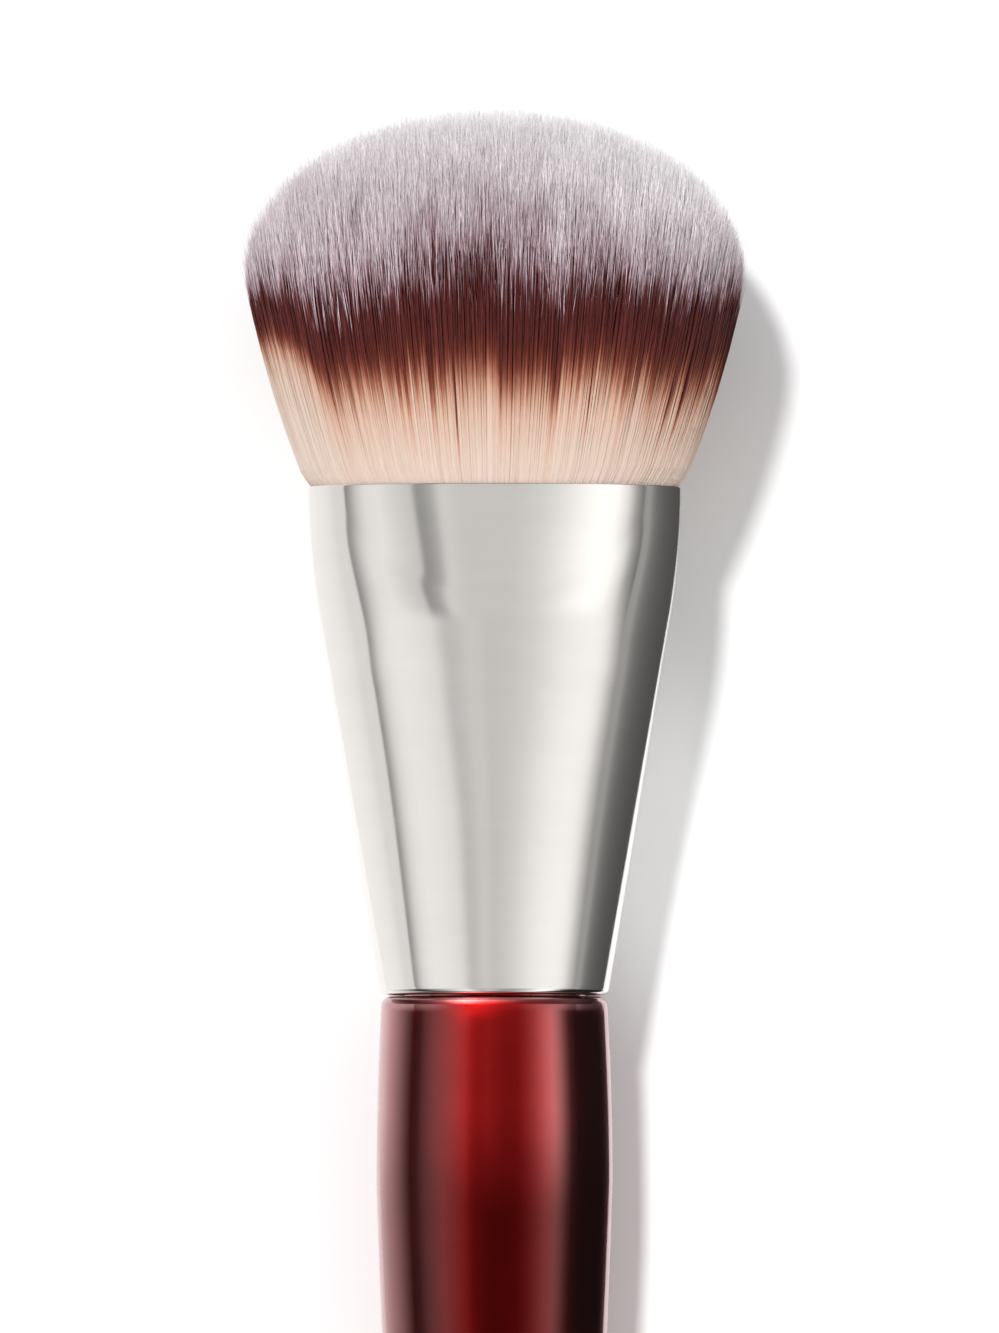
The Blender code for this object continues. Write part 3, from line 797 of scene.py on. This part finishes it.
def map_range(tree, value, start, end, low, high, smooth=False):
    """Maps a value from one range to another."""
    node = add_node(
        tree,
        "ShaderNodeMapRange",
        {"Value": value, "From Min": start, "From Max": end, "To Min": low, "To Max": high},
        interpolation_type="SMOOTHSTEP" if smooth else "LINEAR",
    )
    return node.outputs["Result"]


def spread(tree, value, low, high):
    """Maps the values of a noise to a range."""
    return map_range(tree, value, *NOISE_RANGE, low, high)


def ramp(tree, factor, stops):
    """A colour ramp with stops of (position, colour)."""
    node = add_node(tree, "ShaderNodeValToRGB", {"Fac": factor})
    elements = node.color_ramp.elements
    while len(elements) > 1:
        elements.remove(elements[-1])
    elements[0].position, elements[0].color = stops[0][0], (*stops[0][1], 1.0)
    for position, colour in stops[1:]:
        elements.new(position).color = (*colour, 1.0)
    return node.outputs["Color"]


def two_tone(tree, value, dark, light):
    """A colour between two tones, as a noise has it."""
    return ramp(tree, value, list(zip(NOISE_RANGE, (dark, light))))


def bump(tree, shader, height, strength, distance):
    """Lets a height move the shader's normal a little."""
    node = add_node(tree, "ShaderNodeBump", {"Height": height, "Strength": strength, "Distance": distance})
    tree.links.new(node.outputs["Normal"], shader.inputs["Normal"])


def fibre_material():
    """Dipped fibre: lilac-white tips, a burgundy-brown band and a cream root, by how many millimetres a place
    lies below the tips. Each fibre has a tone of its own, and flecks along it, strongest in the tips."""
    material, tree, shader = new_material(
        "dipped_fibre", Roughness=0.65, Specular_IOR_Level=0.12, Sheen_Weight=0.6, Sheen_Roughness=0.35
    )
    place = add_node(tree, "ShaderNodeUVMap", uv_map="OFBake")
    split = add_node(tree, "ShaderNodeSeparateXYZ", {0: place.outputs["UV"]})
    bands = (
        (-7.0, (0.95, 0.91, 0.93)), (-3.5, (0.82, 0.75, 0.78)), (-0.4, (0.60, 0.50, 0.54)),
        (1.0, (0.43, 0.31, 0.35)), (2.2, (0.19, 0.09, 0.10)), (3.0, (0.085, 0.019, 0.018)),
        (6.0, (0.085, 0.017, 0.014)), (7.2, (0.12, 0.024, 0.017)), (8.1, (0.19, 0.048, 0.028)),
        (9.1, (0.36, 0.135, 0.085)), (10.2, (0.54, 0.30, 0.21)), (11.7, (0.62, 0.42, 0.325)),
        (13.6, (0.64, 0.475, 0.385)), (16.5, (0.65, 0.52, 0.445)),
    )
    span = (BAND_HIGH - BAND_LOW) / MM
    stops = [((below_tips - BAND_LOW / MM) / span, tint) for below_tips, tint in bands]
    colour = ramp(tree, split.outputs["Y"], stops)
    stretched = add_node(
        tree,
        "ShaderNodeVectorMath",
        {0: place.outputs["UV"], 1: (SIDE_TONES, span / FLECK_LENGTH * MM, 1.0)},
        operation="MULTIPLY",
    )
    flecks = add_node(
        tree, "ShaderNodeTexNoise", {"Vector": stretched.outputs[0], "Scale": 1.0, "Detail": 1.0}
    )
    fleck = spread(tree, flecks.outputs["Fac"], -FLECK_TONES, FLECK_TONES)
    tone = add_node(tree, "ShaderNodeMath", {0: split.outputs["X"], 1: fleck}, operation="ADD")
    mottle = add_node(tree, "ShaderNodeMath", {0: tone.outputs[0], 1: 0.5}, operation="SUBTRACT")
    start, end = ((below_tips - BAND_LOW / MM) / span for below_tips in MOTTLE_CHANGE)
    strength = map_range(tree, split.outputs["Y"], start, end, TIP_MOTTLE, ROOT_MOTTLE)
    factor = add_node(
        tree, "ShaderNodeMath", {0: mottle.outputs[0], 1: strength, 2: 1.0}, operation="MULTIPLY_ADD"
    )
    toned = add_node(tree, "ShaderNodeVectorMath", {0: colour, 1: factor.outputs[0]}, operation="MULTIPLY")
    tree.links.new(toned.outputs[0], shader.inputs["Base Color"])
    return material


def nickel_material(grain):
    """Polished nickel plate: warm white metal, very faintly uneven round the tube."""
    material, tree, shader = new_material("nickel_plate", Metallic=1.0)
    marks = add_grain(tree, grain, stretch=(1.0, 5.0, 1.0), coarse=120.0, fine=1800.0)
    colour = two_tone(tree, marks.outputs["Value"], (0.85, 0.82, 0.785), (0.875, 0.845, 0.81))
    tree.links.new(colour, shader.inputs["Base Color"])
    tree.links.new(spread(tree, marks.outputs["Value"], 0.09, 0.12), shader.inputs["Roughness"])
    bump(tree, shader, marks.outputs["Height"], strength=0.02, distance=0.02 * MM)
    return material


def lacquer_material(grain):
    """Clear red lacquer over a fine silvery base coat, under a glossy top coat that shows most at a slant."""
    material, tree, shader = new_material("red_lacquer", Metallic=1.0, Coat_Roughness=0.04, Coat_IOR=2.8)
    flakes = add_grain(tree, grain, stretch=(1.0, 1.0, 1.0), coarse=420.0, fine=9000.0)
    colour = two_tone(tree, flakes.outputs["Value"], (0.37, 0.004, 0.004), (0.42, 0.006, 0.006))
    tree.links.new(colour, shader.inputs["Base Color"])
    tree.links.new(spread(tree, flakes.outputs["Value"], 0.27, 0.32), shader.inputs["Roughness"])
    slant = add_node(tree, "ShaderNodeLayerWeight", {"Blend": 0.5})
    gloss = map_range(tree, slant.outputs["Facing"], *COAT_SLANTS, *COAT_WEIGHTS)
    tree.links.new(gloss, shader.inputs["Coat Weight"])
    bump(tree, shader, flakes.outputs["Height"], strength=0.10, distance=0.02 * MM)
    return material


def thread_material(grain):
    """Waxed cotton thread with its twist."""
    material, tree, shader = new_material("waxed_thread", Roughness=0.7)
    twist = add_grain(tree, grain, stretch=(1.0, 3.0, 1.0), coarse=700.0, fine=3000.0)
    colour = two_tone(tree, twist.outputs["Value"], (0.62, 0.56, 0.46), (0.80, 0.75, 0.66))
    tree.links.new(colour, shader.inputs["Base Color"])
    bump(tree, shader, twist.outputs["Height"], strength=0.6, distance=0.05 * MM)
    return material


def set_resin_material(name, grain, dark, light, rough):
    """Set resin or glue: amber, with slight clouds and an uneven skin."""
    material, tree, shader = new_material(name)
    clouds = add_grain(tree, grain, stretch=(1.0, 1.0, 1.0), coarse=300.0, fine=1200.0)
    colour = two_tone(tree, clouds.outputs["Value"], dark, light)
    tree.links.new(colour, shader.inputs["Base Color"])
    roughness = spread(tree, clouds.outputs["Value"], rough - 0.05, rough + 0.1)
    tree.links.new(roughness, shader.inputs["Roughness"])
    bump(tree, shader, clouds.outputs["Height"], strength=0.3, distance=0.05 * MM)
    return material


def refinish(node, material):
    """Gives a node of the frame that stays as it is a better material."""
    for slot in frame["nodes"][node].material_slots:
        slot.material = material


def glow_tree(name):
    """A new material with nothing in it, and where its surface is along the object's own axes."""
    material = bpy.data.materials.new(name)
    material.use_nodes = True
    tree = material.node_tree
    tree.nodes.clear()
    where = add_node(tree, "ShaderNodeTexCoord")
    split = add_node(tree, "ShaderNodeSeparateXYZ", {0: where.outputs["Object"]})
    return material, tree, split.outputs


def finish_glow(tree, shader):
    """Makes a shader the surface of its material."""
    out = add_node(tree, "ShaderNodeOutputMaterial")
    tree.links.new(shader.outputs[0], out.inputs["Surface"])


def direct_glow(tree, colour, fade):
    """A glow that shows in reflections, but not in the light that the brush throws on. It is clear where fade
    is 1."""
    glow = add_node(tree, "ShaderNodeEmission", {"Color": colour, "Strength": BRIGHTEST})
    clear = add_node(tree, "ShaderNodeBsdfTransparent")
    bounced = add_node(tree, "ShaderNodeLightPath").outputs["Diffuse Depth"]
    hidden = add_node(tree, "ShaderNodeMath", {0: fade, 1: bounced}, operation="MAXIMUM", use_clamp=True)
    shaders = {0: hidden.outputs[0], 1: glow.outputs[0], 2: clear.outputs[0]}
    return add_node(tree, "ShaderNodeMixShader", shaders)


def roll_angle(tree, across, up):
    """The roll angle of a place or a direction, from 0 to 1 as the ramps of light want it."""
    angle = add_node(tree, "ShaderNodeMath", {0: across, 1: up}, operation="ARCTAN2")
    return map_range(tree, angle.outputs[0], -math.pi, math.pi, 0.0, 1.0)


def roll_round_brush(tree, place):
    """The roll angle of a place round the brush's own axis."""
    up = add_node(tree, "ShaderNodeMath", {0: place["Y"], 1: -1.0}, operation="MULTIPLY")
    return roll_angle(tree, place["X"], up.outputs[0])


def wall_light(tree, roll, walls):
    """The light from each roll angle round the brush, from the left wall over the ceiling to the right."""
    stops = [((angle + 180) / 360, (level / BRIGHTEST,) * 3) for angle, level in walls]
    return ramp(tree, roll, stops)


def mixed(tree, share, first, second):
    """A mix of two colours."""
    both = add_node(tree, "ShaderNodeMix", {0: share}, data_type="RGBA")
    tree.links.new(first, both.inputs[6])
    tree.links.new(second, both.inputs[7])
    return both.outputs[2]


def brim_material():
    """Light that changes round the brush and is seen only from the tail's side."""
    material, tree, place = glow_tree("hood_brim")
    colour = wall_light(tree, roll_round_brush(tree, place), OVER_SEAM)
    behind = add_node(tree, "ShaderNodeNewGeometry").outputs["Backfacing"]
    finish_glow(tree, direct_glow(tree, colour, behind))
    return material


def floor_card_material(name, near, far, levels):
    """A floor whose light changes away from the brush."""
    material, tree, place = glow_tree(name)
    level = map_range(tree, place["X"], near, far, *levels)
    finish_glow(tree, add_node(tree, "ShaderNodeEmission", {"Strength": level}))
    return material


def hood_material():
    """Light that changes round the handle and towards its tail, and fades out at the seam."""
    material, tree, place = glow_tree("hood")
    roll = roll_round_brush(tree, place)
    near, far = HOOD_CHANGE
    share = map_range(tree, place["Z"], -near, -far, 0.0, 1.0, smooth=True)
    colour = mixed(tree, share, wall_light(tree, roll, HOOD_AT_SEAM), wall_light(tree, roll, HOOD_AT_TAIL))
    fade = map_range(tree, place["Z"], -HOOD_START - HOOD_FADE, -HOOD_START, 0.0, 1.0, smooth=True)
    finish_glow(tree, direct_glow(tree, colour, fade))
    return material


def reflected_card(name, corners, faces, material):
    """A studio card that shows only in reflections: it lights nothing and casts no shadow."""
    mesh = bpy.data.meshes.new(name)
    mesh.from_pydata(corners, [], faces)
    mesh.materials.append(material)
    card = bpy.data.objects.new(name, mesh)
    bpy.context.scene.collection.objects.link(card)
    card.visible_camera = False
    card.visible_diffuse = False
    card.visible_transmission = False
    card.visible_shadow = False
    return card


def make_hood():
    """A round hood close over the handle, open below, which gives the lacquer its streaks. At the seam it has
    a flat brim, which gives the handle's rounded shoulder its glow and its dark sides."""
    rolls = [HOOD_REACH * (2 * i / HOOD_STEPS - 1) for i in range(HOOD_STEPS + 1)]
    hoops = [(HOOD_RADIUS, -HANDLE_LENGTH - HOOD_PAST_TAIL), (HOOD_RADIUS, -HOOD_START)]
    hoops += [(radius, BRIM_HEIGHT) for radius in BRIM_RADII]
    corners = [
        (radius * math.sin(a), -radius * math.cos(a), height) for radius, height in hoops for a in rolls
    ]
    faces = [
        (i, i + 1, i + len(rolls) + 1, i + len(rolls))
        for start in (0, 2 * len(rolls))
        for i in range(start, start + HOOD_STEPS)
    ]
    hood = reflected_card("hood", corners, faces, hood_material())
    hood.data.materials.append(brim_material())
    for face in hood.data.polygons[HOOD_STEPS:]:
        face.material_index = 1
    hood.matrix_world = BRUSH


def make_floor_cards():
    """What the gloss sees of the floor: pale on the left and dark on the right, away from the brush."""
    reach = FLOOR_REACH - CARD_HEIGHT
    cards = (
        ("left_floor_card", -1, FLOOR_LEFT_CHANGE, FLOOR_LEFT),
        ("right_floor_card", 1, FLOOR_RIGHT_CHANGE, FLOOR_RIGHT),
    )
    for name, side, (near, far), levels in cards:
        corners = [
            (side * x, y, CARD_HEIGHT)
            for x, y in ((CARD_EDGE, -reach), (reach, -reach), (reach, reach), (CARD_EDGE, reach))
        ]
        reflected_card(name, corners, [(0, 1, 2, 3)], floor_card_material(name, near, far, levels))


def painted_floor_light(tree):
    """A pool of light painted on the floor beside the ferrule, for the light that it throws there, which
    makes its shadow paler.
    """
    where = add_node(tree, "ShaderNodeTexCoord")
    offset = (-PAINTED_FLOOR_LIGHT_MIDDLE[0], -PAINTED_FLOOR_LIGHT_MIDDLE[1], 0.0)
    moved = add_node(tree, "ShaderNodeVectorMath", {0: where.outputs["Object"], 1: offset}, operation="ADD")
    shares = (1 / PAINTED_FLOOR_LIGHT_REACH[0], 1 / PAINTED_FLOOR_LIGHT_REACH[1], 0.0)
    scaled = add_node(tree, "ShaderNodeVectorMath", {0: moved.outputs[0], 1: shares}, operation="MULTIPLY")
    far = add_node(tree, "ShaderNodeVectorMath", {0: scaled.outputs[0]}, operation="LENGTH")
    return map_range(tree, far.outputs["Value"], *PAINTED_FLOOR_LIGHT_EDGE, 0.0, PAINTED_FLOOR_LIGHT, smooth=True)


def make_floor():
    """A plain pale floor, with a pool of light painted on it beside the ferrule."""
    mesh = bpy.data.meshes.new("floor")
    ends = (-FLOOR_REACH, FLOOR_REACH)
    mesh.from_pydata([(x, y, 0) for y in ends for x in ends], [], [(0, 1, 3, 2)])
    material, tree, shader = new_material("pale_floor", Roughness=1.0, Specular_IOR_Level=0.0)
    shader.inputs["Base Color"].default_value = (FLOOR_WHITE, FLOOR_WHITE, FLOOR_WHITE, 1.0)
    shader.inputs["Emission Color"].default_value = (1.0, 1.0, 1.0, 1.0)
    # Painted light: the floor glows in a pool beside the ferrule.
    tree.links.new(painted_floor_light(tree), shader.inputs["Emission Strength"])
    mesh.materials.append(material)
    floor = bpy.data.objects.new("floor", mesh)
    bpy.context.scene.collection.objects.link(floor)


def make_sky():
    """Soft light from all round, which differs towards the brush's two ends."""
    world = bpy.data.worlds.new("studio")
    world.cycles.sampling_method = "NONE"
    bpy.context.scene.world = world
    world.use_nodes = True
    tree = world.node_tree
    tree.nodes.clear()
    where = add_node(tree, "ShaderNodeTexCoord")
    place = add_node(tree, "ShaderNodeSeparateXYZ", {0: where.outputs["Generated"]}).outputs
    roll = roll_angle(tree, place["X"], place["Z"])
    start, end = (math.sin(math.radians(tilt)) for tilt in SIDES_MEET)
    share = map_range(tree, place["Y"], start, end, 0.0, 1.0, smooth=True)
    colour = mixed(tree, share, wall_light(tree, roll, TAIL_SIDE), wall_light(tree, roll, HAIR_SIDE))
    start, end = (math.sin(math.radians(tilt)) for tilt in FAR_END_FROM)
    level = map_range(tree, place["Y"], start, end, BRIGHTEST, FAR_END_LEVEL * BRIGHTEST, smooth=True)
    sky = add_node(tree, "ShaderNodeBackground", {"Color": colour, "Strength": level})
    out = add_node(tree, "ShaderNodeOutputWorld")
    tree.links.new(sky.outputs[0], out.inputs["Surface"])


def make_studio():
    """The sky, a key light that casts the shadow, and the cards that the gloss shows."""
    make_sky()
    key = bpy.data.lights.new("key", "SUN")
    key.energy = KEY_ENERGY
    key.angle = KEY_SOFTNESS
    lamp = bpy.data.objects.new("key", key)
    bpy.context.scene.collection.objects.link(lamp)
    towards = Vector((-math.tan(KEY_LEFT), math.tan(KEY_FORWARD), 1.0))
    lamp.rotation_euler = towards.to_track_quat("Z", "Y").to_euler()
    lamp.visible_glossy = False
    make_floor_cards()
    make_hood()


def make_camera():
    """A far camera that looks down on the brush, slightly from the handle's side."""
    data = bpy.data.cameras.new("camera")
    data.sensor_width = SENSOR
    data.lens = SENSOR * CAMERA_DISTANCE / FRAME_HEIGHT
    camera = bpy.data.objects.new("camera", data)
    bpy.context.scene.collection.objects.link(camera)
    aim = BRUSH @ Vector((AIM_ACROSS, 0.0, AIM_ABOVE_SEAM))
    away = Vector((0.0, -math.sin(CAMERA_TILT), math.cos(CAMERA_TILT)))
    camera.location = aim + CAMERA_DISTANCE * away
    camera.rotation_euler = (CAMERA_TILT, 0.0, 0.0)
    bpy.context.scene.camera = camera


def main():
    """Camera, pieces with their finishes, and studio."""
    bpy.context.scene.view_settings.view_transform = "Standard"
    make_camera()
    grain = grain_group()
    make_ferrule(nickel_material(grain))
    make_handle(lacquer_material(grain))
    make_hair(fibre_material())
    refinish("binding_thread", thread_material(grain))
    resin = set_resin_material("clear_resin", grain, (0.52, 0.40, 0.20), (0.72, 0.58, 0.34), rough=0.15)
    refinish("root_resin", resin)
    glue = set_resin_material("wood_glue", grain, (0.52, 0.42, 0.24), (0.66, 0.54, 0.34), rough=0.45)
    refinish("tenon_glue", glue)
    make_floor()
    make_studio()


main()
